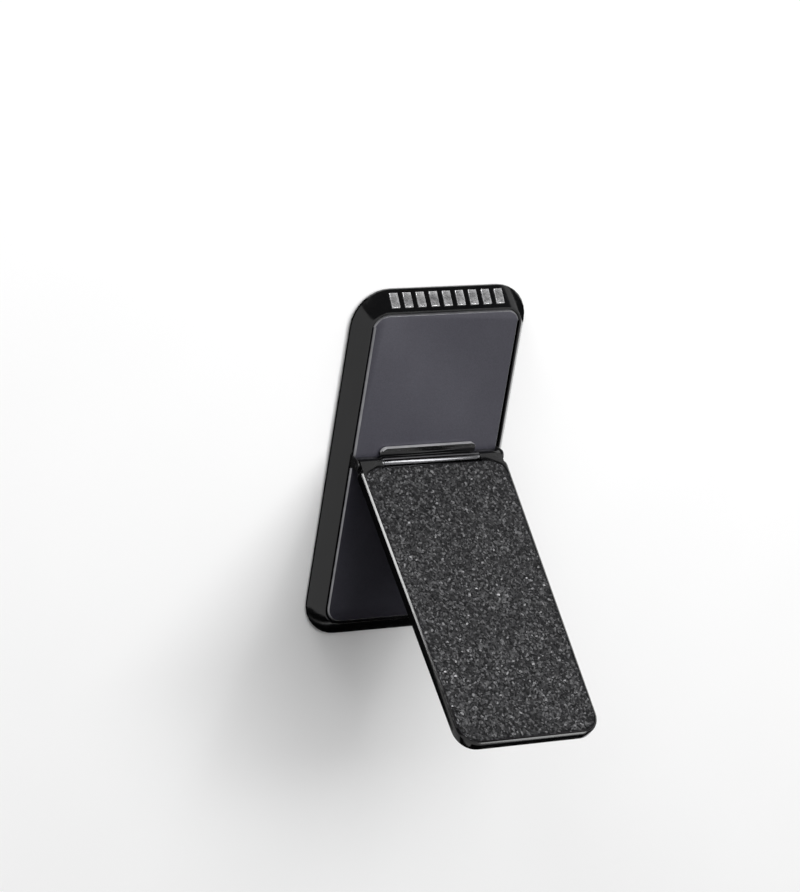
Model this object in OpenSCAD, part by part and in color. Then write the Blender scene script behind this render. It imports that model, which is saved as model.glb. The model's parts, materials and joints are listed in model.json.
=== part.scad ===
// Stick-on grip with a sliding hinge and a swing-out leg.
// The flat back lies on z = 0, the origin is the middle of it, +Y runs to the end with the bright bars
// and +Z points out of the front. The leg is drawn where it stands open.

/* [Base] */
// Length of the base at its back
base_l = 78; // [74:1:86]
// Width of the base at its back
base_w = 41.8; // [40:0.2:46]
// Height of the rim above the back
rim_z = 4.2; // [4.2:0.1:5]
// How far each long wall leans in
side_lean = 2.7; // [2.2:0.1:3.2]
// How far each end wall leans in
end_lean = 3.8; // [3:0.1:4.5]
// Corner radius at the back
back_r = 8; // [6:0.5:10]
// Corner radius of the rim
rim_r = 4; // [3:0.5:5]
// Small chamfer along the rim
rim_chamfer = 0.25; // [0.1:0.05:0.4]
// Shadow gap under the lower edge of the walls
foot_gap = 0.4; // [0.2:0.1:0.6]
// Height of the upright foot under the slope
foot_h = 0.5; // [0.2:0.1:0.8]
// Thickness of the adhesive pad
pad_t = 0.8; // [0.6:0.1:1]
// Thickness of the rear plate
rear_t = 0.6; // [0.5:0.1:0.8]

/* [Face plate] */
// Thickness of the face plate
plate_t = 0.8; // [0.6:0.1:1]
// Height of the plate above the rim
plate_rise = 0.2; // [0.1:0.05:0.3]
// Width of the rim beside the plate
rim_w = 0.4; // [0.3:0.05:0.6]
// Width of each slot beside the plate
slot_w = 0.4; // [0.35:0.05:0.9]
// Width of the bright chamfer round the plate
plate_bevel = 0.4; // [0.1:0.05:0.5]

/* [Hinge] */
// Place of the pin along the base with the leg standing open
pin_y = 2.3; // [0:0.1:6]
// Slide travel from there to the closed place
travel = 28.3; // [20:0.1:28.5]
// Diameter of the pin
pin_d = 1.2; // [1:0.05:1.3]
// Radius of the middle knuckle
barrel_r = 1.3; // [1.15:0.05:1.4]
// Length of the middle knuckle
barrel_l = 23; // [18:0.5:26]
// How far the lip stands behind the pin
lip_y = 3; // [2.8:0.1:3.5]
// Thickness of each friction washer
washer_t = 0.3; // [0.2:0.05:0.4]

/* [Leg] */
// Angle of the leg from its closed place
leg_angle = 54.5; // [40:0.5:60]
// Length from the pin to the tip
leg_l = 67; // [60:0.5:70]
// Width at the hinge end
leg_w = 35.6; // [35:0.1:36]
// Width at the tip
tip_w = 33.6; // [30:0.1:35]
// Thickness of the leg
leg_t = 2.4; // [2.2:0.1:2.6]
// Corner radius at the tip
tip_r = 4.6; // [2.5:0.1:5]
// Width of the frame beside the glitter panel
band_w = 0.55; // [0.5:0.05:2]
// Width of the frame at the tip
tip_band = 0.8; // [0.6:0.1:2]

/* [Bright bars] */
// Number of bars on the end wall
bar_count = 9; // [5:1:11]
// Distance from one bar to the next
bar_pitch = 3.15; // [2.4:0.05:3.2]
// Width of a bar
bar_w = 1.9; // [1:0.1:2]
// Length of a bar up the slope
bar_l = 3.6; // [2.4:0.1:4]
// Corner radius of a bar
bar_r = 0.4; // [0.1:0.05:0.5]
// Height of a bar above the slope
bar_t = 0.3; // [0.2:0.05:0.4]

/* [Hidden] */

// Clearances
press_gap = 0.05;
bore_gap = 0.05;
arm_gap = 0.05;
guide_gap = 0.1;
ride_gap = 0.2;
free_gap = 0.3;
// Overlap of a cut past the face it opens, and the thickness of a disc inside a hull
cut = 1;
skin = 0.01;
hull_fn = 32;
round_fn = 48;

// Levels above the back
rear_top = pad_t + rear_t;
plate_top = rim_z + plate_rise;
plate_bottom = plate_top - plate_t;
pin_z = plate_top + free_gap + leg_t / 2;

// Outlines of the base
slope_z = foot_gap + foot_h;
rim_chamfer_h = 0.2;
rim_half_w = base_w / 2 - side_lean;
rim_half_l = base_l / 2 - end_lean;
seat_half_w = rim_half_w - rim_w;
seat_half_l = rim_half_l - rim_w;
seat_r = rim_r - rim_w;
rear_wall = 1.75;
rear_half_w = base_w / 2 - rear_wall;
rear_half_l = base_l / 2 - rear_wall;
rear_r = back_r - rear_wall;
pad_inset = 0.25;

// Pin, slots and the channel under the plate
arm_r = 1.2;
arm_t = slot_w - 2 * arm_gap;
arm_out = seat_half_w - arm_gap;
arm_in = arm_out - arm_t;
slot_in = seat_half_w - slot_w;
slot_y0 = pin_y - arm_r - free_gap;
slot_y1 = pin_y + travel + arm_r + free_gap;
floor_back = 8;
floor_front = 2;
floor_t = 0.6;
shoe_wall = 0.7;
floor_half_w = arm_out - shoe_wall;
floor_drop = 0.5;
floor_z = plate_bottom - floor_drop - floor_t;
bumper_t = 1.2;
channel_y0 = pin_y - floor_back - free_gap - bumper_t;
channel_mouth = pin_y + travel + floor_front + free_gap;
channel_y1 = channel_mouth + bumper_t;
channel_half_w = arm_out + ride_gap;
bumper_half_w = 8;
pocket_half_w = bumper_half_w + guide_gap;
strip_half_w = 5;
strip_t = 0.3;

// Shoes, spring and rivets
shoe_w = 4.2;
shoe_in = arm_out - shoe_w;
shoe_margin = 0.4;
shoe_y0 = pin_y - floor_back + shoe_margin;
shoe_y1 = pin_y - arm_r - shoe_margin;
spring_half_w = 4;
spring_t = 0.2;
spring_root = 1.2;
crown_y0 = 4;
crown_y1 = 4.8;
spring_tail = 6.6;
tail_lift = 0.35;
rivet_x = 2.5;
rivet_r = 0.4;
rivet_head_r = 0.8;
rivet_head_t = 0.25;

// Screws and the hollows behind the lower half
screw_r = 0.5;
screw_head_r = 1;
screw_head_t = 0.5;
screw_l = 2.6;
screw_x = 9;
screw_inset = 0.3;
screw_y = rim_half_l - screw_inset;
hollow_inset = 2.2;
hollow_x = rim_half_w - hollow_inset;
hollow_y0 = -rim_half_l + hollow_inset;
rib_t = 1.2;
hollow_y1 = channel_y0 - rib_t;
hollow_top = plate_bottom - plate_t;

// Hinge pieces
barrel_half = barrel_l / 2;
barrel_foot_t = 0.5;
barrel_foot_z = plate_top + ride_gap;
lip_t = 0.6;
lip_h = 0.55;
barrel_end_r = 1.4;
washer_gap = 0.05;
washer_r = 1.15;
ear_in = barrel_half + washer_gap + washer_t + washer_gap;
ear_out = arm_in - free_gap;
ear_r = 1.05;
heel_l = 0.95;
ear_front = 0.1;

// Leg, drawn closed with the pin on the X axis and the tip at -Y
half_t = leg_t / 2;
neck_y = barrel_r + free_gap;
neck_r = 1.4;
leg_edge = 0.45;
leg_edge_drop = 0.3;
glitter_depth = 0.7;
glitter_t = 0.6;
top_band = 0.25;
liner_depth = 0.6;
liner_t = 0.5;
liner_inset = 1.8;
panel_r = 2.2;
magnet_r = 2.5;
magnet_t = 0.9;
magnet_side = 7.8;
magnet_end = 9;
magnet_x = tip_w / 2 - magnet_side;
magnet_y = -leg_l + magnet_end;
web_top = half_t - glitter_depth;
web_bottom = -half_t + liner_depth;

// Flat rounded rectangle with true arcs, from half sizes
module round_rect(half_w, half_l, r) {
    square([2 * half_w, 2 * (half_l - r)], center = true);
    square([2 * (half_w - r), 2 * half_l], center = true);
    for (sx = [-1, 1], sy = [-1, 1])
        translate([sx * (half_w - r), sy * (half_l - r)]) circle(r = r, $fn = round_fn);
}

module round_slab(half_w, half_l, r, z0, z1) {
    translate([0, 0, z0]) linear_extrude(z1 - z0) round_rect(half_w, half_l, r);
}

// Four thin corner discs of a rounded rectangle, for a hull
module corner_discs(half_w, half_l, r, z) {
    for (sx = [-1, 1], sy = [-1, 1])
        translate([sx * (half_w - r), sy * (half_l - r), z])
            cylinder(r = r, h = skin, $fn = hull_fn);
}

module box(x0, x1, y0, y1, z0, z1) {
    translate([x0, y0, z0]) cube([x1 - x0, y1 - y0, z1 - z0]);
}

// Cylinder along X from x0 to x1
module rod_x(x0, x1, r, y = 0, z = 0) {
    translate([x0, y, z]) rotate([0, 90, 0]) cylinder(r = r, h = x1 - x0, $fn = round_fn);
}

module on_screws() {
    for (sx = [-1, 1], sy = [-1, 1]) translate([sx * screw_x, sy * screw_y, pad_t]) children();
}

module screw_form(gap = 0) {
    cylinder(r1 = screw_head_r + gap, r2 = screw_r + gap, h = screw_head_t, $fn = round_fn);
    cylinder(r = screw_r + gap, h = screw_l, $fn = round_fn);
}

// Puts leg pieces, drawn closed about the X axis, at the open angle
module open_leg() {
    translate([0, pin_y, pin_z]) rotate([-leg_angle, 0, 0]) children();
}

module adhesive_pad() {
    color([0.85, 0.85, 0.83])
        round_slab(rear_half_w - pad_inset, rear_half_l - pad_inset, rear_r - pad_inset, 0, pad_t);
}

module rear_plate() {
    color([0.12, 0.12, 0.13]) difference() {
        round_slab(rear_half_w - press_gap, rear_half_l - press_gap, rear_r - press_gap, pad_t, rear_top);
        on_screws() screw_form();
    }
}

module rear_screws() {
    color([0.6, 0.6, 0.62]) on_screws() screw_form();
}

// Bevelled walls with the seats for both plates and the channel of the carriage
module base_shell() {
    color([0.02, 0.02, 0.022]) difference() {
        hull() {
            corner_discs(base_w / 2, base_l / 2, back_r, foot_gap);
            corner_discs(base_w / 2, base_l / 2, back_r, slope_z - skin);
            corner_discs(rim_half_w + rim_chamfer, rim_half_l + rim_chamfer, rim_r + rim_chamfer,
                rim_z - rim_chamfer_h - skin);
            corner_discs(rim_half_w, rim_half_l, rim_r, rim_z - skin);
        }
        round_slab(rear_half_w, rear_half_l, rear_r, -cut, rear_top);
        round_slab(seat_half_w, seat_half_l, seat_r, plate_bottom, rim_z + cut);
        box(-channel_half_w, channel_half_w, channel_y0, channel_mouth, rear_top - cut, plate_bottom + skin);
        box(-pocket_half_w, pocket_half_w, channel_mouth - skin, channel_y1, rear_top - cut, plate_bottom + skin);
        for (sx = [-1, 1]) {
            box(sx > 0 ? slot_in : -seat_half_w, sx > 0 ? seat_half_w : -slot_in, slot_y0, slot_y1,
                plate_bottom, rim_z + cut);
            box(sx > 0 ? rib_t / 2 : -hollow_x, sx > 0 ? hollow_x : -rib_t / 2,
                hollow_y0, hollow_y1, rear_top - cut, hollow_top);
        }
        on_screws() cylinder(r = screw_r, h = screw_l, $fn = round_fn);
    }
}

// Sloping cut along the plate's edge beside a slot
module slot_chamfer(turn) {
    length = slot_y1 - slot_y0;
    reach = plate_bevel + cut;
    translate([0, (slot_y0 + slot_y1) / 2, plate_top]) rotate([0, 0, turn])
        translate([slot_in, length / 2, 0]) rotate([90, 0, 0]) linear_extrude(length)
            polygon([[-reach, cut], [cut, -reach], [cut, cut]]);
}

// Steel plate with a notch along each side that leaves the slots for the bracket's arms
module face_plate() {
    half_w = seat_half_w - press_gap;
    half_l = seat_half_l - press_gap;
    plate_r = seat_r - press_gap;
    color([0.31, 0.30, 0.33]) difference() {
        hull() {
            corner_discs(half_w, half_l, plate_r, plate_bottom);
            corner_discs(half_w, half_l, plate_r, plate_top - plate_bevel);
            corner_discs(half_w - plate_bevel, half_l - plate_bevel, plate_r - plate_bevel, plate_top - skin);
        }
        for (sx = [-1, 1])
            box(sx > 0 ? slot_in : -seat_half_w - cut, sx > 0 ? seat_half_w + cut : -slot_in,
                slot_y0, slot_y1, plate_bottom - cut, plate_top + cut);
        for (turn = [0, 180]) slot_chamfer(turn);
    }
}

// Plain bright bars in a row on the sloping end wall
module trim_bars() {
    slope = atan2(rim_z - rim_chamfer_h - slope_z, end_lean - rim_chamfer);
    mid_y = (base_l / 2 + rim_half_l + rim_chamfer) / 2;
    mid_z = (slope_z + rim_z - rim_chamfer_h) / 2;
    color([0.8, 0.8, 0.8])
        for (i = [0 : bar_count - 1])
            translate([(i - (bar_count - 1) / 2) * bar_pitch, mid_y, mid_z + skin])
                rotate([-slope, 0, 0])
                    round_slab(bar_w / 2, bar_l / 2, bar_r, 0, bar_t);
}

module wear_strip() {
    color([0.75, 0.75, 0.72])
        box(-strip_half_w, strip_half_w, channel_y0, channel_y1, rear_top, rear_top + strip_t);
}

module bumper(y0) {
    color([0.08, 0.08, 0.08])
        box(-bumper_half_w, bumper_half_w, y0, y0 + bumper_t, rear_top + strip_t, plate_bottom);
}

module stop_bumper_upper() {
    bumper(channel_y1 - bumper_t);
}

module stop_bumper_lower() {
    bumper(channel_y0);
}

// Stamped bracket: a floor inside the base and two arms that come up through the slots
module saddle_bracket() {
    color([0.55, 0.56, 0.58]) difference() {
        union() {
            box(-floor_half_w, floor_half_w, pin_y - floor_back, pin_y + floor_front, floor_z,
                floor_z + floor_t);
            box(-arm_out, arm_out, pin_y - arm_r, pin_y + arm_r, floor_z, floor_z + floor_t);
            for (x0 = [-arm_out, arm_in]) {
                box(x0, x0 + arm_t, pin_y - arm_r, pin_y + arm_r, floor_z, pin_z);
                rod_x(x0, x0 + arm_t, arm_r, pin_y, pin_z);
            }
        }
        rod_x(-arm_out - cut, arm_out + cut, pin_d / 2, pin_y, pin_z);
        for (sx = [-1, 1])
            translate([sx * rivet_x, pin_y, floor_z - cut])
                cylinder(r = rivet_r, h = floor_t + 2 * cut, $fn = round_fn);
    }
}

// Shoe that wraps one side edge of the bracket's floor
module glide_shoe(sx) {
    color([0.9, 0.9, 0.86]) difference() {
        box(sx > 0 ? shoe_in : -arm_out, sx > 0 ? arm_out : -shoe_in, shoe_y0, shoe_y1,
            rear_top + guide_gap, plate_bottom - guide_gap);
        box(sx > 0 ? shoe_in - cut : -floor_half_w, sx > 0 ? floor_half_w : -shoe_in + cut,
            shoe_y0 - cut, shoe_y1 + cut, floor_z, floor_z + floor_t);
    }
}

module glide_shoe_left() {
    glide_shoe(-1);
}

module glide_shoe_right() {
    glide_shoe(1);
}

// Bowed leaf under the floor, its crown just over the wear strip
module drag_spring() {
    crown_z = rear_top + strip_t + bore_gap;
    profile = [
        [spring_root, floor_z], [spring_root, floor_z - spring_t], [-spring_root, floor_z - spring_t],
        [-crown_y0, crown_z], [-crown_y1, crown_z], [-spring_tail, crown_z + tail_lift],
        [-spring_tail, crown_z + tail_lift + spring_t], [-crown_y1, crown_z + spring_t],
        [-crown_y0, crown_z + spring_t], [-spring_root, floor_z]];
    color([0.5, 0.5, 0.52]) difference() {
        translate([-spring_half_w, pin_y, 0]) rotate([90, 0, 90])
            linear_extrude(2 * spring_half_w) polygon(profile);
        for (sx = [-1, 1])
            translate([sx * rivet_x, pin_y, floor_z - cut])
                cylinder(r = rivet_r, h = 2 * cut, $fn = round_fn);
    }
}

module spring_rivets() {
    color([0.7, 0.68, 0.62])
        for (sx = [-1, 1]) translate([sx * rivet_x, pin_y, 0]) {
            translate([0, 0, floor_z - spring_t - rivet_head_t])
                cylinder(r = rivet_r, h = floor_t + spring_t + 2 * rivet_head_t, $fn = round_fn);
            translate([0, 0, floor_z + floor_t])
                cylinder(r = rivet_head_r, h = rivet_head_t, $fn = round_fn);
            translate([0, 0, floor_z - spring_t - rivet_head_t])
                cylinder(r = rivet_head_r, h = rivet_head_t, $fn = round_fn);
        }
}

module hinge_pin() {
    color([0.62, 0.62, 0.64]) rod_x(-arm_out, arm_out, pin_d / 2, pin_y, pin_z);
}

// Middle knuckle with a low foot behind it and a lip along the foot's edge
module hinge_barrel() {
    color([0.03, 0.03, 0.033]) difference() {
        intersection() {
            union() {
                rod_x(-barrel_half, barrel_half, barrel_r, pin_y, pin_z);
                box(-barrel_half, barrel_half, pin_y, pin_y + lip_y, barrel_foot_z,
                    barrel_foot_z + barrel_foot_t);
                box(-barrel_half, barrel_half, pin_y + lip_y - lip_t, pin_y + lip_y, barrel_foot_z,
                    barrel_foot_z + barrel_foot_t + lip_h);
            }
            translate([0, pin_y + (lip_y - barrel_r) / 2, 0])
                round_slab(barrel_half, (lip_y + barrel_r) / 2, barrel_end_r, 0, pin_z + barrel_r + cut);
        }
        rod_x(-barrel_half - cut, barrel_half + cut, pin_d / 2, pin_y, pin_z);
    }
}

module friction_washer(x0) {
    color([0.72, 0.6, 0.35]) difference() {
        rod_x(x0, x0 + washer_t, washer_r, pin_y, pin_z);
        rod_x(x0 - cut, x0 + washer_t + cut, pin_d / 2, pin_y, pin_z);
    }
}

module friction_washer_left() {
    friction_washer(-barrel_half - washer_gap - washer_t);
}

module friction_washer_right() {
    friction_washer(barrel_half + washer_gap);
}

// Half width of the leg at a place along it
function leg_half(y) = leg_w / 2 + (tip_w - leg_w) / 2 * (-y - neck_y) / (leg_l - neck_y);

// Four corner discs of the tapered leg, grown or shrunk by d
module leg_discs(d, z) {
    for (sx = [-1, 1]) {
        translate([sx * (leg_half(-neck_y) - neck_r), -neck_y - neck_r, z])
            cylinder(r = neck_r + d, h = skin, $fn = hull_fn);
        translate([sx * (leg_half(-leg_l) - tip_r), -leg_l + tip_r, z])
            cylinder(r = tip_r + d, h = skin, $fn = hull_fn);
    }
}

// Tapered panel with true corner arcs: top edge at y1, tip edge at y0, inset from the leg's side
module panel_outline(y1, y0, inset, r) {
    a = leg_half(y1) - inset;
    b = leg_half(y0) - inset;
    for (sx = [-1, 1]) {
        translate([sx * (a - r), y1 - r]) circle(r = r, $fn = round_fn);
        translate([sx * (b - r), y0 + r]) circle(r = r, $fn = round_fn);
    }
    polygon([[-a, y1 - r], [-b, y0 + r], [-b + r, y0], [b - r, y0], [b, y0 + r], [a, y1 - r],
        [a - r, y1], [-a + r, y1]]);
}

// Ear round the pin, with a flat heel that meets the face plate at the end of the swing
module ear_form() {
    foot = [half_t * sin(leg_angle), -half_t * cos(leg_angle)];
    heel = foot + heel_l * [cos(leg_angle), sin(leg_angle)];
    rotate([90, 0, 90]) linear_extrude(ear_out - ear_in) {
        circle(r = ear_r, $fn = round_fn);
        polygon([foot, heel, [-ear_front, half_t], [-neck_y - cut, half_t], [-neck_y - cut, -half_t],
            [0, -half_t]]);
    }
}

module leg_frame() {
    color([0.03, 0.03, 0.033]) open_leg() difference() {
        union() {
            hull() {
                leg_discs(-leg_edge, -half_t);
                leg_discs(0, -half_t + leg_edge_drop);
                leg_discs(0, half_t - leg_edge_drop - skin);
                leg_discs(-leg_edge, half_t - skin);
            }
            translate([ear_in, 0, 0]) ear_form();
            translate([-ear_out, 0, 0]) ear_form();
        }
        translate([0, 0, web_top]) linear_extrude(leg_t)
            panel_outline(-neck_y - top_band, -leg_l + tip_band, band_w, tip_r - tip_band);
        translate([0, 0, -leg_t + web_bottom]) linear_extrude(leg_t)
            panel_outline(-neck_y - liner_inset, -leg_l + liner_inset, liner_inset, panel_r);
        for (sx = [-1, 1])
            translate([sx * magnet_x, magnet_y, web_bottom - cut])
                cylinder(r = magnet_r + press_gap, h = magnet_t + cut, $fn = round_fn);
        rod_x(-ear_out - cut, ear_out + cut, pin_d / 2 + bore_gap);
    }
}

module glitter_panel() {
    color([0.2, 0.2, 0.22]) open_leg() translate([0, 0, web_top]) linear_extrude(glitter_t)
        panel_outline(-neck_y - top_band - press_gap, -leg_l + tip_band + press_gap,
            band_w + press_gap, tip_r - tip_band - press_gap);
}

module inner_liner() {
    color([0.06, 0.06, 0.065]) open_leg() translate([0, 0, web_bottom - liner_t]) linear_extrude(liner_t)
        panel_outline(-neck_y - liner_inset - press_gap, -leg_l + liner_inset + press_gap,
            liner_inset + press_gap, panel_r - press_gap);
}

module closing_magnet(sx) {
    color([0.6, 0.61, 0.63]) open_leg() translate([sx * magnet_x, magnet_y, web_bottom])
        cylinder(r = magnet_r, h = magnet_t, $fn = round_fn);
}

module closing_magnet_left() {
    closing_magnet(-1);
}

module closing_magnet_right() {
    closing_magnet(1);
}

adhesive_pad();
rear_plate();
rear_screws();
base_shell();
face_plate();
trim_bars();
wear_strip();
stop_bumper_upper();
stop_bumper_lower();
saddle_bracket();
glide_shoe_left();
glide_shoe_right();
drag_spring();
spring_rivets();
hinge_pin();
hinge_barrel();
friction_washer_left();
friction_washer_right();
leg_frame();
glitter_panel();
inner_liner();
closing_magnet_left();
closing_magnet_right();
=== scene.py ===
import json
import math
import random

import bmesh
import bpy
from mathutils import Euler, Matrix, Vector

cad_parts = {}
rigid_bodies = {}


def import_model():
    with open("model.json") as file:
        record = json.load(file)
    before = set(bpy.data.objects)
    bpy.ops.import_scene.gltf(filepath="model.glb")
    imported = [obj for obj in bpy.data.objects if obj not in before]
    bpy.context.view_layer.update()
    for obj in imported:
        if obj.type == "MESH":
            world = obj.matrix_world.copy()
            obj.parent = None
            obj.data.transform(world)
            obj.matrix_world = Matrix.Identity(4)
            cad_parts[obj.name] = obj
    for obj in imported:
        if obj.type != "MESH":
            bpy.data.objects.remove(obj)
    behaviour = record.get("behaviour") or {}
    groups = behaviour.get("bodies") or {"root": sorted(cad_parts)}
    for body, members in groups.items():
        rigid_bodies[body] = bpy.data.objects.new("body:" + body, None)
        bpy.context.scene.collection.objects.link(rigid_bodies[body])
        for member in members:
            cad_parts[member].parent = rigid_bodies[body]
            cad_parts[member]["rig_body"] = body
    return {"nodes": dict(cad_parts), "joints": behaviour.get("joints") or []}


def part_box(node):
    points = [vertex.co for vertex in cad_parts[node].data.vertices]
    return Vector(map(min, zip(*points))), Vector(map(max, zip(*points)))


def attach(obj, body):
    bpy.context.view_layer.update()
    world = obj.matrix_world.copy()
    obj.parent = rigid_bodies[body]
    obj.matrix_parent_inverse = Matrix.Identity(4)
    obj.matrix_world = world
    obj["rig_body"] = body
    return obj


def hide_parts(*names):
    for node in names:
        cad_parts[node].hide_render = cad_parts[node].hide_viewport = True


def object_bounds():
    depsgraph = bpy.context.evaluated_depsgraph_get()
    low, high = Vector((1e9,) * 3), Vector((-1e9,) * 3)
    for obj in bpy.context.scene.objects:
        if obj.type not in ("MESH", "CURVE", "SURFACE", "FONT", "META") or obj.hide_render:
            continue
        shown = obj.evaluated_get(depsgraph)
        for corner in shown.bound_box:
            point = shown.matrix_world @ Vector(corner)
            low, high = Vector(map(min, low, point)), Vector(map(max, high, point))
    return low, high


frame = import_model()
cadLow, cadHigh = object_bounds()
scene = bpy.context.scene
print("frame loaded:", len(frame["nodes"]), "nodes")

millimetre = 0.001

# the camera comes first
cameraSetup = {
    "place": (-0.44851, 0.32161, 0.68910),
    "turnDegrees": (-26.399, -29.024, 10.046),
    "lens": 169.5,
    "sensor": 36.0,
    "clipStart": 0.01,
    "clipEnd": 50.0,
}


def placeCamera():
    data = bpy.data.cameras.new("camera")
    data.lens = cameraSetup["lens"]
    data.sensor_width = cameraSetup["sensor"]
    data.clip_start = cameraSetup["clipStart"]
    data.clip_end = cameraSetup["clipEnd"]
    camera = bpy.data.objects.new("camera", data)
    camera.location = cameraSetup["place"]
    camera.rotation_euler = Euler([math.radians(angle) for angle in cameraSetup["turnDegrees"]])
    scene.collection.objects.link(camera)
    scene.camera = camera


placeCamera()
print("camera placed")


# a noise spends nearly all its range between these two
noiseLow, noiseHigh = 0.3, 0.7


# small helpers for node trees
def newMaterial(name):
    material = bpy.data.materials.new(name)
    material.use_nodes = True
    tree = material.node_tree
    shader = tree.nodes["Principled BSDF"]
    return material, tree, shader


def addNode(tree, kind, settings=None, inputs=None):
    node = tree.nodes.new(kind)
    for key, value in (settings or {}).items():
        setattr(node, key, value)
    for key, value in (inputs or {}).items():
        node.inputs[key].default_value = value
    return node


def setShader(shader, values):
    for key, value in values.items():
        shader.inputs[key].default_value = value


def objectPoints(tree, stretch=(1, 1, 1)):
    points = addNode(tree, "ShaderNodeTexCoord")
    mapping = addNode(tree, "ShaderNodeMapping", inputs={"Scale": stretch})
    tree.links.new(points.outputs["Object"], mapping.inputs["Vector"])
    return mapping.outputs["Vector"]


def noiseOn(tree, points, scale, detail=3.0, roughness=0.5):
    noise = addNode(tree, "ShaderNodeTexNoise",
                    inputs={"Scale": scale, "Detail": detail, "Roughness": roughness})
    tree.links.new(points, noise.inputs["Vector"])
    return noise.outputs["Fac"]


def rampOn(tree, value, stops):
    ramp = addNode(tree, "ShaderNodeValToRGB")
    elements = ramp.color_ramp.elements
    while len(elements) < len(stops):
        elements.new(0.5)
    for element, (position, color) in zip(elements, stops):
        element.position = position
        element.color = (*color, 1.0)
    tree.links.new(value, ramp.inputs["Fac"])
    return ramp.outputs["Color"]


def cloudOn(tree, noise, look):
    return rampOn(tree, noise, [(noiseLow, look["dark"]), (noiseHigh, look["light"])])


def rangeOn(tree, value, low, high, fromLow=noiseLow, fromHigh=noiseHigh):
    spread = addNode(tree, "ShaderNodeMapRange",
                     inputs={"From Min": fromLow, "From Max": fromHigh, "To Min": low, "To Max": high})
    tree.links.new(value, spread.inputs["Value"])
    return spread.outputs["Result"]


def bumpOn(tree, height, distance, strength=1.0):
    bump = addNode(tree, "ShaderNodeBump", inputs={"Strength": strength, "Distance": distance})
    tree.links.new(height, bump.inputs["Height"])
    return bump.outputs["Normal"]


def plainFinish(name, look):
    # a little cloudiness in the colour, uneven gloss and a fine bump
    material, tree, shader = newMaterial(name)
    points = objectPoints(tree, look.get("stretch", (1, 1, 1)))
    cloud = noiseOn(tree, points, look["cloudScale"])
    fine = noiseOn(tree, points, look["grainScale"], detail=5.0, roughness=0.6)
    tree.links.new(cloudOn(tree, cloud, look), shader.inputs["Base Color"])
    tree.links.new(rangeOn(tree, fine, look["smooth"], look["rough"]), shader.inputs["Roughness"])
    tree.links.new(bumpOn(tree, fine, look["grainHeight"]), shader.inputs["Normal"])
    setShader(shader, look.get("shader", {}))
    return material


# glossy moulded black of the shell, the leg's frame and the knuckle's lip
blackLook = {
    "cloudScale": 90.0, "grainScale": 1400.0, "grainHeight": 0.000002,
    "dark": (0.0022, 0.0022, 0.0024), "light": (0.0050, 0.0050, 0.0054),
    "smooth": 0.10, "rough": 0.17,
    "shader": {"IOR": 1.43},
}
matteLook = {
    "cloudScale": 120.0, "grainScale": 3500.0, "grainHeight": 0.00002,
    "dark": (0.010, 0.010, 0.011), "light": (0.018, 0.018, 0.019),
    "smooth": 0.55, "rough": 0.70,
}
steelLook = {
    "cloudScale": 60.0, "grainScale": 900.0, "grainHeight": 0.000004, "stretch": (1.0, 12.0, 12.0),
    "dark": (0.42, 0.42, 0.44), "light": (0.56, 0.56, 0.58),
    "smooth": 0.22, "rough": 0.38,
    "shader": {"Metallic": 1.0},
}
nickelLook = dict(steelLook, dark=(0.50, 0.49, 0.46), light=(0.64, 0.62, 0.58), smooth=0.12, rough=0.24)
darkSteelLook = dict(steelLook, dark=(0.10, 0.10, 0.105), light=(0.16, 0.16, 0.165))
knuckleLook = dict(steelLook, dark=(0.10, 0.10, 0.105), light=(0.15, 0.15, 0.155), smooth=0.12, rough=0.20,
                   stretch=(1.0, 6.0, 6.0), grainHeight=0.000002)
coatedLook = dict(matteLook, dark=(0.006, 0.006, 0.0065), light=(0.011, 0.011, 0.0115),
                  smooth=0.32, rough=0.46, grainHeight=0.000006)
plasticLook = {
    "cloudScale": 150.0, "grainScale": 2600.0, "grainHeight": 0.000008,
    "dark": (0.56, 0.55, 0.50), "light": (0.68, 0.67, 0.62),
    "smooth": 0.35, "rough": 0.50,
}
rubberLook = {
    "cloudScale": 200.0, "grainScale": 2400.0, "grainHeight": 0.00003,
    "dark": (0.012, 0.012, 0.012), "light": (0.026, 0.026, 0.025),
    "smooth": 0.70, "rough": 0.88,
}
chromeLook = {
    "cloudScale": 330.0, "grainScale": 900.0, "grainHeight": 0.0000004, "stretch": (1.0, 1.5, 1.5),
    "dark": (0.50, 0.50, 0.51), "light": (0.88, 0.88, 0.89),
    "smooth": 0.20, "rough": 0.34,
    "shader": {"Metallic": 0.88},
}

# the plate's cut edge, lighter than its paint
edgeLook = {
    "cloudScale": 300.0, "grainScale": 2400.0, "grainHeight": 0.000004,
    "dark": (0.16, 0.16, 0.17), "light": (0.23, 0.23, 0.24),
    "smooth": 0.28, "rough": 0.40,
    "shader": {"Metallic": 0.8},
}
# painted highlight: a light grey for the lip's rounded edges and back wall
lipHighlightLook = dict(edgeLook, dark=(0.40, 0.40, 0.41), light=(0.52, 0.52, 0.53), shader={"Metallic": 0.4})
plateLook = {
    "dark": (0.031, 0.030, 0.041), "light": (0.039, 0.038, 0.050),
    "cloudScale": 70.0, "peelScale": 1300.0, "fleckScale": 9000.0, "fleckLow": 0.85, "fleckHigh": 1.25,
    "smooth": 0.34, "rough": 0.44, "grainHeight": 0.000004,
    "shader": {"Metallic": 0.25, "IOR": 1.5},
}


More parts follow.
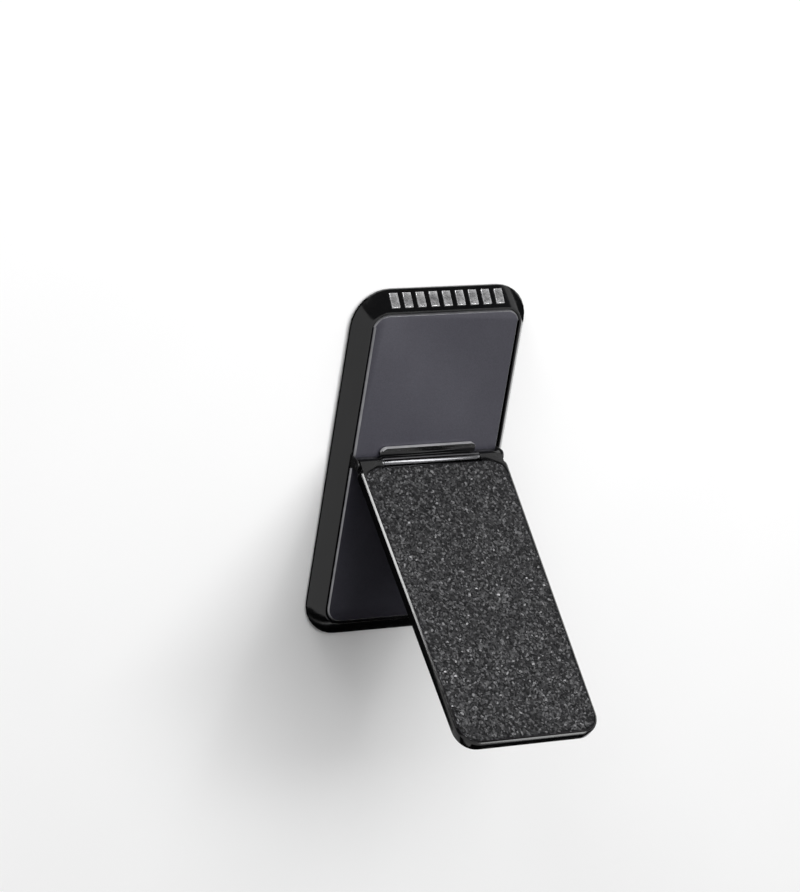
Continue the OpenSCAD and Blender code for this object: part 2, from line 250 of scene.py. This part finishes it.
def platePaint():
    # satin metallic paint: cloudy colour, fine bright flecks, soft orange peel
    material, tree, shader = newMaterial("satinPaint")
    points = objectPoints(tree)
    cloud = noiseOn(tree, points, plateLook["cloudScale"])
    base = cloudOn(tree, cloud, plateLook)
    flecks = addNode(tree, "ShaderNodeTexVoronoi", inputs={"Scale": plateLook["fleckScale"]})
    tree.links.new(points, flecks.inputs["Vector"])
    fleckTone = addNode(tree, "ShaderNodeSeparateColor")
    tree.links.new(flecks.outputs["Color"], fleckTone.inputs["Color"])
    gain = rangeOn(tree, fleckTone.outputs["Red"], plateLook["fleckLow"], plateLook["fleckHigh"], 0.0, 1.0)
    mixed = addNode(tree, "ShaderNodeVectorMath", {"operation": "SCALE"})
    tree.links.new(base, mixed.inputs[0])
    tree.links.new(gain, mixed.inputs["Scale"])
    tree.links.new(mixed.outputs["Vector"], shader.inputs["Base Color"])
    peel = noiseOn(tree, points, plateLook["peelScale"], detail=4.0)
    tree.links.new(rangeOn(tree, peel, plateLook["smooth"], plateLook["rough"]), shader.inputs["Roughness"])
    tree.links.new(bumpOn(tree, peel, plateLook["grainHeight"]), shader.inputs["Normal"])
    setShader(shader, plateLook["shader"])
    return material


foamLook = {
    "dark": (0.60, 0.60, 0.58), "light": (0.68, 0.68, 0.65), "cloudScale": 130.0,
    "poreScale": 2200.0, "poreHeight": 0.00006,
    "shader": {"Roughness": 0.85},
}


def padFoam():
    # closed-cell foam with open pores on its cut face
    material, tree, shader = newMaterial("padFoam")
    points = objectPoints(tree)
    cloud = noiseOn(tree, points, foamLook["cloudScale"], detail=5.0)
    tree.links.new(cloudOn(tree, cloud, foamLook), shader.inputs["Base Color"])
    pores = addNode(tree, "ShaderNodeTexVoronoi", inputs={"Scale": foamLook["poreScale"]})
    tree.links.new(points, pores.inputs["Vector"])
    tree.links.new(bumpOn(tree, pores.outputs["Distance"], foamLook["poreHeight"]), shader.inputs["Normal"])
    setShader(shader, foamLook["shader"])
    return material


linerLook = {
    "dark": (0.016, 0.016, 0.017), "light": (0.042, 0.042, 0.044),
    "fuzzScale": 900.0, "threadScale": 150.0, "threadWobble": 0.6, "weaveHeight": 0.00005,
    "shader": {"Roughness": 0.85, "Sheen Weight": 0.25, "Sheen Roughness": 0.5},
}


def linerCloth():
    # brushed microfibre with a fine criss-cross
    material, tree, shader = newMaterial("linerCloth")
    points = objectPoints(tree)
    fuzz = noiseOn(tree, points, linerLook["fuzzScale"], detail=6.0, roughness=0.7)
    tree.links.new(cloudOn(tree, fuzz, linerLook), shader.inputs["Base Color"])
    threads = [
        addNode(tree, "ShaderNodeTexWave", {"bands_direction": direction},
                {"Scale": linerLook["threadScale"], "Distortion": linerLook["threadWobble"]})
        for direction in ("X", "Y")]
    for thread in threads:
        tree.links.new(points, thread.inputs["Vector"])
    crossing = addNode(tree, "ShaderNodeMath", {"operation": "MAXIMUM"})
    tree.links.new(threads[0].outputs["Fac"], crossing.inputs[0])
    tree.links.new(threads[1].outputs["Fac"], crossing.inputs[1])
    tree.links.new(bumpOn(tree, crossing.outputs["Value"], linerLook["weaveHeight"]), shader.inputs["Normal"])
    setShader(shader, linerLook["shader"])
    return material


groundLook = {
    "cellScale": 2600.0, "cellHeight": 0.00006,
    "stops": [(0.0, (0.004, 0.004, 0.005)), (0.70, (0.014, 0.014, 0.015)),
              (0.93, (0.06, 0.06, 0.065)), (1.0, (0.22, 0.22, 0.23))],
    "shader": {"Metallic": 0.6, "Roughness": 0.35},
}


def glitterGround():
    # dark resin with the small flakes that lie deep in it
    material, tree, shader = newMaterial("glitterGround")
    points = objectPoints(tree)
    cells = addNode(tree, "ShaderNodeTexVoronoi", inputs={"Scale": groundLook["cellScale"]})
    tree.links.new(points, cells.inputs["Vector"])
    tone = addNode(tree, "ShaderNodeSeparateColor")
    tree.links.new(cells.outputs["Color"], tone.inputs["Color"])
    tree.links.new(rampOn(tree, tone.outputs["Green"], groundLook["stops"]), shader.inputs["Base Color"])
    tree.links.new(bumpOn(tree, tone.outputs["Blue"], groundLook["cellHeight"]), shader.inputs["Normal"])
    setShader(shader, groundLook["shader"])
    return material


flakeFinish = {
    "stops": [(0.0, (0.020, 0.020, 0.021)), (0.50, (0.060, 0.060, 0.062)),
              (0.85, (0.125, 0.125, 0.128)), (0.98, (0.20, 0.20, 0.205)), (1.0, (0.40, 0.40, 0.41))],
    "hazeScale": 1800.0, "smooth": 0.30, "rough": 0.48,
    "shader": {"Metallic": 0.85},
}


def flakeMetal():
    # each flake carries its own tone in the flakeTone attribute
    material, tree, shader = newMaterial("flakeMetal")
    tone = addNode(tree, "ShaderNodeAttribute", {"attribute_name": "flakeTone"})
    tree.links.new(rampOn(tree, tone.outputs["Fac"], flakeFinish["stops"]), shader.inputs["Base Color"])
    points = objectPoints(tree)
    haze = noiseOn(tree, points, flakeFinish["hazeScale"])
    gloss = rangeOn(tree, haze, flakeFinish["smooth"], flakeFinish["rough"])
    tree.links.new(gloss, shader.inputs["Roughness"])
    setShader(shader, flakeFinish["shader"])
    return material


glossBlack = plainFinish("glossBlack", blackLook)
matteBlack = plainFinish("matteBlack", matteLook)
brushedSteel = plainFinish("brushedSteel", steelLook)
nickelPlate = plainFinish("nickelPlate", nickelLook)
darkSteel = plainFinish("darkSteel", darkSteelLook)
blackNickel = plainFinish("blackNickel", knuckleLook)
coatedSteel = plainFinish("coatedSteel", coatedLook)
bareEdge = plainFinish("bareEdge", edgeLook)
lipPaintedHighlight = plainFinish("lipPaintedHighlight", lipHighlightLook)
palePlastic = plainFinish("palePlastic", plasticLook)
bumperRubber = plainFinish("bumperRubber", rubberLook)
barChrome = plainFinish("barChrome", chromeLook)
satinPaint = platePaint()
foam = padFoam()
linerFabric = linerCloth()
glitterResin = glitterGround()
flakeShine = flakeMetal()
print("finishes made")

finishes = {
    "adhesive_pad": foam, "rear_plate": matteBlack, "rear_screws": brushedSteel,
    "base_shell": glossBlack, "face_plate": satinPaint, "trim_bars": barChrome,
    "wear_strip": palePlastic, "stop_bumper_upper": bumperRubber, "stop_bumper_lower": bumperRubber,
    "saddle_bracket": coatedSteel, "glide_shoe_left": palePlastic, "glide_shoe_right": palePlastic,
    "drag_spring": brushedSteel, "spring_rivets": nickelPlate, "hinge_pin": brushedSteel,
    "hinge_barrel": blackNickel, "friction_washer_left": darkSteel,
    "friction_washer_right": darkSteel, "leg_frame": glossBlack, "glitter_panel": glitterResin,
    "inner_liner": linerFabric, "closing_magnet_left": nickelPlate, "closing_magnet_right": nickelPlate,
}


def setFinish(item, material):
    item.data.materials.clear()
    item.data.materials.append(material)


for nodeName, finish in finishes.items():
    setFinish(frame["nodes"][nodeName], finish)
print("finishes set on the solids")


def deselectAll():
    for item in list(bpy.context.selected_objects):
        item.select_set(False)


def makeActive(item):
    deselectAll()
    item.select_set(True)
    bpy.context.view_layer.objects.active = item


def applyModifier(item, kind, settings):
    modifier = item.modifiers.new(kind.lower(), kind)
    for key, value in settings.items():
        setattr(modifier, key, value)
    makeActive(item)
    bpy.ops.object.modifier_apply(modifier=modifier.name)


def joinAll(items, name):
    deselectAll()
    for item in items:
        item.select_set(True)
    bpy.context.view_layer.objects.active = items[0]
    bpy.ops.object.join()
    joined = bpy.context.view_layer.objects.active
    joined.name = name
    return joined


# how a copied solid is merged, flattened, rounded and shaded
rounding = {"mergeDistance": 0.000002, "flatDegrees": 1.0, "edgeDegrees": 28.0, "smoothDegrees": 35.0}

# moulded and stamped parts whose edges are rounded over, radius in millimetres
roundedParts = {
    "base_shell": {"piece": "shell_body", "radius": 0.10, "steps": 3, "slot": "gloss_black"},
    "face_plate": {"piece": "plate_body", "radius": 0.06, "steps": 2, "slot": "plate_paint"},
    "hinge_barrel": {"piece": "hinge_knuckle", "radius": 0.19, "steps": 3, "slot": "black_nickel"},
    "leg_frame": {"piece": "leg_body", "radius": 0.10, "steps": 3, "slot": "gloss_black"},
    "saddle_bracket": {"piece": "bracket_body", "radius": 0.05, "steps": 2, "slot": "black_steel"},
}


def roundedPart(nodeName, look):
    source = frame["nodes"][nodeName]
    item = bpy.data.objects.new(look["piece"], source.data.copy())
    scene.collection.objects.link(item)
    makeActive(item)
    bpy.ops.object.mode_set(mode="EDIT")
    bpy.ops.mesh.select_all(action="SELECT")
    bpy.ops.mesh.remove_doubles(threshold=rounding["mergeDistance"])
    bpy.ops.mesh.dissolve_limited(angle_limit=math.radians(rounding["flatDegrees"]))
    bpy.ops.mesh.normals_make_consistent(inside=False)
    bpy.ops.object.mode_set(mode="OBJECT")
    applyModifier(item, "BEVEL", {
        "width": look["radius"] * millimetre, "segments": look["steps"],
        "limit_method": "ANGLE", "angle_limit": math.radians(rounding["edgeDegrees"])})
    makeActive(item)
    bpy.ops.object.shade_smooth_by_angle(angle=math.radians(rounding["smoothDegrees"]))
    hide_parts(nodeName)
    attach(item, source["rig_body"])
    return item


# how far up a face of the slope points
plateEdge = {"leastUpright": 0.3, "mostUpright": 0.93}


def bareTheEdge(plate):
    # the sloping faces round the plate show its metal
    plate.data.materials.append(bareEdge)
    for face in plate.data.polygons:
        if plateEdge["leastUpright"] < face.normal.z < plateEdge["mostUpright"]:
            face.material_index = 1


# where the lip starts and ends, in millimetres towards the bars
knuckleDress = {"lipStart": 3.7, "lipBack": 5.15, "flatEnough": 0.97}


def paintLipHighlight(knuckle):
    # the raised lip is black; its rounded edges and back wall get a light grey, a painted highlight
    knuckle.data.materials.append(glossBlack)
    knuckle.data.materials.append(lipPaintedHighlight)
    for face in knuckle.data.polygons:
        if face.center.y > knuckleDress["lipStart"] * millimetre:
            flat = max(abs(part) for part in face.normal) > knuckleDress["flatEnough"]
            atBack = face.center.y > knuckleDress["lipBack"] * millimetre
            face.material_index = 1 if flat and not atBack else 2


for nodeName, look in roundedParts.items():
    rounded = roundedPart(nodeName, look)
    if nodeName == "face_plate":
        bareTheEdge(rounded)
    if nodeName == "hinge_barrel":
        paintLipHighlight(rounded)
    print("rounded", look["piece"])

# bright bars on the end wall, sizes in millimetres
barLook = {
    "count": 9, "width": 1.9, "length": 3.25, "height": 0.3, "upSlope": 0.15,
    "cornerRadius": 0.4, "cornerSteps": 4, "edgeRadius": 0.10, "edgeSteps": 3,
    "slopeDegrees": 41.13, "topFaceUp": 0.9,
}


def oneBar():
    deselectAll()
    bpy.ops.mesh.primitive_cube_add(size=1)
    bar = bpy.context.active_object
    bar.scale = [barLook[side] * millimetre for side in ("width", "length", "height")]
    bpy.ops.object.transform_apply(location=False, rotation=False, scale=True)
    bpy.ops.object.mode_set(mode="EDIT")
    mesh = bmesh.from_edit_mesh(bar.data)
    for edge in mesh.edges:
        edge.select = abs(edge.verts[0].co.z - edge.verts[1].co.z) > barLook["height"] * millimetre / 2
    mesh.select_flush_mode()
    bmesh.update_edit_mesh(bar.data)
    bpy.ops.mesh.bevel(offset=barLook["cornerRadius"] * millimetre, segments=barLook["cornerSteps"])
    mesh = bmesh.from_edit_mesh(bar.data)
    for face in mesh.faces:
        face.select = face.normal.z > barLook["topFaceUp"]
    mesh.select_flush_mode()
    bmesh.update_edit_mesh(bar.data)
    bpy.ops.mesh.region_to_loop()
    bpy.ops.mesh.bevel(offset=barLook["edgeRadius"] * millimetre, segments=barLook["edgeSteps"])
    bpy.ops.object.mode_set(mode="OBJECT")
    return bar


def barRow():
    low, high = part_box("trim_bars")
    middle = (low + high) / 2
    pitch = (high.x - low.x - barLook["width"] * millimetre) / (barLook["count"] - 1)
    turn = Matrix.Rotation(math.radians(-barLook["slopeDegrees"]), 4, "X")
    middle += turn.to_3x3() @ Vector((0, -barLook["upSlope"] * millimetre, 0))
    first = oneBar()
    bars = [first]
    for _ in range(barLook["count"] - 1):
        copy = bpy.data.objects.new("bar", first.data.copy())
        scene.collection.objects.link(copy)
        bars.append(copy)
    for i, bar in enumerate(bars):
        place = middle + Vector(((i - (barLook["count"] - 1) / 2) * pitch, 0, 0))
        bar.data.transform(Matrix.Translation(place) @ turn)
    row = joinAll(bars, "trim_bar_row")
    bpy.ops.object.shade_smooth_by_angle(angle=math.radians(rounding["smoothDegrees"]))
    setFinish(row, barChrome)
    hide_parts("trim_bars")
    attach(row, "base")


barRow()
print("bars made")

# loose-laid glitter flakes that stand in the resin of the leg's panel, sizes in millimetres
flakeLook = {
    "pitch": 0.50, "radius": 0.34, "sides": 6, "jitter": 0.20, "tiltDegrees": 22.0,
    "sizeSpread": 0.35, "lift": 0.01, "edgeMargin": 0.34, "cornerRadius": 3.8, "seed": 11,
    "rowSpacing": 0.866, "inset": 0.05, "rise": 0.012,
}


def oneFlake():
    deselectAll()
    bpy.ops.mesh.primitive_circle_add(vertices=flakeLook["sides"], radius=flakeLook["radius"] * millimetre,
                                      fill_type="NGON")
    flake = bpy.context.active_object
    bpy.ops.object.mode_set(mode="EDIT")
    bpy.ops.mesh.select_all(action="SELECT")
    bpy.ops.mesh.inset(thickness=flakeLook["inset"] * millimetre, depth=flakeLook["rise"] * millimetre)
    bpy.ops.object.mode_set(mode="OBJECT")
    return flake


def panelFrame():
    # the panel's own axes: across, from the hinge to the tip, and out of its face
    hinge = next(j for j in frame["joints"] if j["name"] == "leg_hinge")
    openAngle = math.radians(-hinge["range_deg"][0])
    along = Vector((0, -math.cos(openAngle), math.sin(openAngle)))
    outward = Vector((0, math.sin(openAngle), math.cos(openAngle)))
    return Vector(hinge["pos_m"]), along, outward


def spreadFlakes():
    pin, along, outward = panelFrame()
    corners = [v.co - pin for v in frame["nodes"]["glitter_panel"].data.vertices]
    start = min(c.dot(along) for c in corners)
    end = max(c.dot(along) for c in corners)
    top = max(c.dot(outward) for c in corners)
    middle = (start + end) / 2
    wide = max(abs(c.x) for c in corners if c.dot(along) < middle)
    narrow = max(abs(c.x) for c in corners if c.dot(along) > middle)
    chance = random.Random(flakeLook["seed"])
    flake = oneFlake()
    shape = [v.co.copy() for v in flake.data.vertices]
    outlines = [tuple(face.vertices) for face in flake.data.polygons]
    bpy.data.objects.remove(flake)
    pitch = flakeLook["pitch"] * millimetre
    margin = flakeLook["edgeMargin"] * millimetre
    radius = flakeLook["cornerRadius"] * millimetre
    points, faces, tones = [], [], []
    rows = int((end - start) / (pitch * flakeLook["rowSpacing"])) + 1
    for row in range(rows):
        down = start + (row + 0.5) * pitch * flakeLook["rowSpacing"]
        halfWidth = wide + (narrow - wide) * (down - start) / (end - start) - margin
        count = int(2 * halfWidth / pitch) + 1
        for column in range(-count // 2, count // 2 + 1):
            x = (column + 0.5 * (row % 2)) * pitch + chance.uniform(-1, 1) * flakeLook["jitter"] * millimetre
            y = down + chance.uniform(-1, 1) * flakeLook["jitter"] * millimetre
            edge = min(y - start, end - y) - margin
            side = halfWidth - abs(x)
            if edge < 0 or side < 0:
                continue
            if edge < radius and side < radius and math.hypot(radius - edge, radius - side) > radius:
                continue
            size = 1 + chance.uniform(-1, 1) * flakeLook["sizeSpread"]
            tilt = math.radians(flakeLook["tiltDegrees"]) * math.sqrt(chance.random())
            axis = chance.uniform(0, 2 * math.pi)
            turn = (Matrix.Rotation(tilt, 3, Vector((math.cos(axis), math.sin(axis), 0)))
                    @ Matrix.Rotation(chance.uniform(0, 2 * math.pi), 3, "Z"))
            first = len(points)
            for corner in shape:
                local = turn @ (corner * size)
                height = top + flakeLook["lift"] * millimetre + local.z
                points.append(pin + Vector((x - local.x, 0, 0)) + along * (y + local.y) + outward * height)
            faces += [tuple(first + index for index in outline) for outline in outlines]
            tones += [chance.random()] * len(outlines)
    mesh = bpy.data.meshes.new("glitter_flakes")
    mesh.from_pydata(points, [], faces)
    tone = mesh.attributes.new("flakeTone", "FLOAT", "FACE")
    tone.data.foreach_set("value", tones)
    flakes = bpy.data.objects.new("glitter_flakes", mesh)
    scene.collection.objects.link(flakes)
    setFinish(flakes, flakeShine)
    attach(flakes, "leg")
    print("flakes laid:", len(tones) // len(outlines), "with", len(faces), "faces")


spreadFlakes()

# floor, reflection cards and light
stageLook = {
    "floorSize": 6.0, "floorDrop": 0.00005, "touchLength": 0.00035,
    "floorColor": (0.97, 0.97, 0.97), "bounceColor": (0.25, 0.25, 0.25),
    "mottleScale": 30.0, "mottleDark": 0.99,
    "worldShown": 1.0, "worldLight": 0.76, "worldFront": 0.04, "gradientFront": -0.25, "gradientBack": 0.5,
}
flatPaper = {"Roughness": 1.0, "Specular IOR Level": 0.0}
lampLooks = {
    "overheadLamp": {"toward": (0.47, 0.32, 0.82), "distance": 0.85, "size": (0.50, 0.22),
                     "power": 2.8, "mirrored": True},
    "sideStrip": {"toward": (-0.50, 0.86, 0.09), "distance": 0.85, "size": (0.30, 0.16),
                  "power": 3.2, "mirrored": True},
    "softBox": {"toward": (0.05, 0.62, 0.78), "distance": 0.90, "size": (0.60, 0.45),
                "power": 4.0, "mirrored": False},
}
# black cards that only reflections see, the mats just over the floor: painted shade in reflections, standing
# in for shaded floor and dark surroundings
cardColor = (0.002, 0.002, 0.002, 1)
cardLooks = {
    "darkCardBack": {"toward": (0.0, 0.87, 0.50), "distance": 0.60, "size": (1.30, 0.42)},
}
nearCards = {
    "darkCardTip": {"place": (0.036, -0.086, 0.070), "target": (-0.008, -0.024, 0.006),
                    "size": (0.130, 0.105)},
    "darkCardLow": {"place": (0.0, -0.250, 0.030), "target": (0.0, 0.0, 0.020), "size": (0.60, 0.070)},
    "darkMat": {"place": (-0.040, -0.012, 0.0003), "target": (-0.040, -0.012, -1.0), "size": (0.044, 0.120)},
    "darkMatCorner": {"place": (0.046, 0.052, 0.0003), "target": (0.046, 0.052, -1.0),
                      "size": (0.050, 0.044)},
    "darkMatEnd": {"place": (0.004, -0.056, 0.0003), "target": (0.004, -0.056, -1.0), "size": (0.044, 0.032)},
}


def sceneMiddle():
    return (cadLow + cadHigh) / 2


def aimedMatrix(place, target):
    turn = (target - place).to_track_quat("-Z", "Y").to_matrix().to_4x4()
    return Matrix.Translation(place) @ turn


def shownRays(tree):
    # one where the camera, a reflection or a see-through part looks
    path = addNode(tree, "ShaderNodeLightPath")
    pair = addNode(tree, "ShaderNodeMath", {"operation": "MAXIMUM"})
    total = addNode(tree, "ShaderNodeMath", {"operation": "MAXIMUM"})
    tree.links.new(path.outputs["Is Camera Ray"], pair.inputs[0])
    tree.links.new(path.outputs["Is Glossy Ray"], pair.inputs[1])
    tree.links.new(pair.outputs["Value"], total.inputs[0])
    tree.links.new(path.outputs["Is Transmission Ray"], total.inputs[1])
    return total.outputs["Value"]


def makeFloor():
    deselectAll()
    bpy.ops.mesh.primitive_plane_add(size=stageLook["floorSize"], location=(0, 0, -stageLook["floorDrop"]))
    floor = bpy.context.active_object
    floor.name = "floor"
    material, tree, shader = newMaterial("floorPaper")
    setShader(shader, flatPaper)
    points = objectPoints(tree)
    mottle = noiseOn(tree, points, stageLook["mottleScale"])
    darker = [part * stageLook["mottleDark"] for part in stageLook["floorColor"]]
    shown = cloudOn(tree, mottle, {"dark": darker, "light": stageLook["floorColor"]})
    mix = addNode(tree, "ShaderNodeMix", {"data_type": "RGBA"})
    mix.inputs["A"].default_value = (*stageLook["bounceColor"], 1)
    tree.links.new(shownRays(tree), mix.inputs["Factor"])
    tree.links.new(shown, mix.inputs["B"])
    tree.links.new(mix.outputs["Result"], shader.inputs["Base Color"])
    # from below the floor isn't seen, and it lets light reach what lies flat on it
    clear = addNode(tree, "ShaderNodeBsdfTransparent")
    sideOf = addNode(tree, "ShaderNodeNewGeometry")
    path = addNode(tree, "ShaderNodeLightPath")
    touching = addNode(tree, "ShaderNodeMath", {"operation": "LESS_THAN"})
    tree.links.new(path.outputs["Ray Length"], touching.inputs[0])
    touching.inputs[1].default_value = stageLook["touchLength"]
    seeThrough = addNode(tree, "ShaderNodeMath", {"operation": "MAXIMUM"})
    tree.links.new(sideOf.outputs["Backfacing"], seeThrough.inputs[0])
    tree.links.new(touching.outputs["Value"], seeThrough.inputs[1])
    choose = addNode(tree, "ShaderNodeMixShader")
    tree.links.new(seeThrough.outputs["Value"], choose.inputs["Fac"])
    tree.links.new(shader.outputs["BSDF"], choose.inputs[1])
    tree.links.new(clear.outputs["BSDF"], choose.inputs[2])
    tree.links.new(choose.outputs["Shader"], tree.nodes["Material Output"].inputs["Surface"])
    setFinish(floor, material)


def makeLamp(name, look):
    data = bpy.data.lights.new(name, "AREA")
    data.shape = "RECTANGLE"
    data.size, data.size_y = look["size"]
    data.energy = look["power"]
    lamp = bpy.data.objects.new(name, data)
    place = sceneMiddle() + Vector(look["toward"]).normalized() * look["distance"]
    lamp.matrix_world = aimedMatrix(place, sceneMiddle())
    lamp.visible_camera = False
    lamp.visible_glossy = look["mirrored"]
    scene.collection.objects.link(lamp)


def makeCard(name, place, target, size):
    deselectAll()
    bpy.ops.mesh.primitive_plane_add(size=1)
    card = bpy.context.active_object
    card.name = name
    card.matrix_world = aimedMatrix(place, target) @ Matrix.Diagonal((*size, 1, 1))
    material, tree, shader = newMaterial(name)
    setShader(shader, flatPaper)
    setShader(shader, {"Base Color": cardColor})
    setFinish(card, material)
    # the card shows only in reflections: a painted dark reflection
    for kind in ("camera", "diffuse", "transmission", "volume_scatter", "shadow"):
        setattr(card, "visible_" + kind, False)


def makeWorld():
    world = bpy.data.worlds.new("studio")
    scene.world = world
    world.use_nodes = True
    tree = world.node_tree
    shown = tree.nodes["Background"]
    shown.inputs["Color"].default_value = (1, 1, 1, 1)
    shown.inputs["Strength"].default_value = stageLook["worldShown"]
    # the room is brighter behind the end with the bars
    light = addNode(tree, "ShaderNodeBackground", inputs={"Color": (1, 1, 1, 1)})
    aim = addNode(tree, "ShaderNodeTexCoord")
    parts = addNode(tree, "ShaderNodeSeparateXYZ")
    tree.links.new(aim.outputs["Generated"], parts.inputs["Vector"])
    strength = rangeOn(tree, parts.outputs["Y"], stageLook["worldFront"], stageLook["worldLight"],
                       stageLook["gradientFront"], stageLook["gradientBack"])
    tree.links.new(strength, light.inputs["Strength"])
    mix = addNode(tree, "ShaderNodeMixShader")
    tree.links.new(shownRays(tree), mix.inputs["Fac"])
    tree.links.new(light.outputs["Background"], mix.inputs[1])
    tree.links.new(shown.outputs["Background"], mix.inputs[2])
    tree.links.new(mix.outputs["Shader"], tree.nodes["World Output"].inputs["Surface"])


makeFloor()
for lampName, look in lampLooks.items():
    makeLamp(lampName, look)
for cardName, look in cardLooks.items():
    cardPlace = sceneMiddle() + Vector(look["toward"]).normalized() * look["distance"]
    makeCard(cardName, cardPlace, sceneMiddle(), look["size"])
for cardName, look in nearCards.items():
    makeCard(cardName, Vector(look["place"]), Vector(look["target"]), look["size"])
makeWorld()
scene.view_settings.view_transform = "Standard"
print("stage and light set")
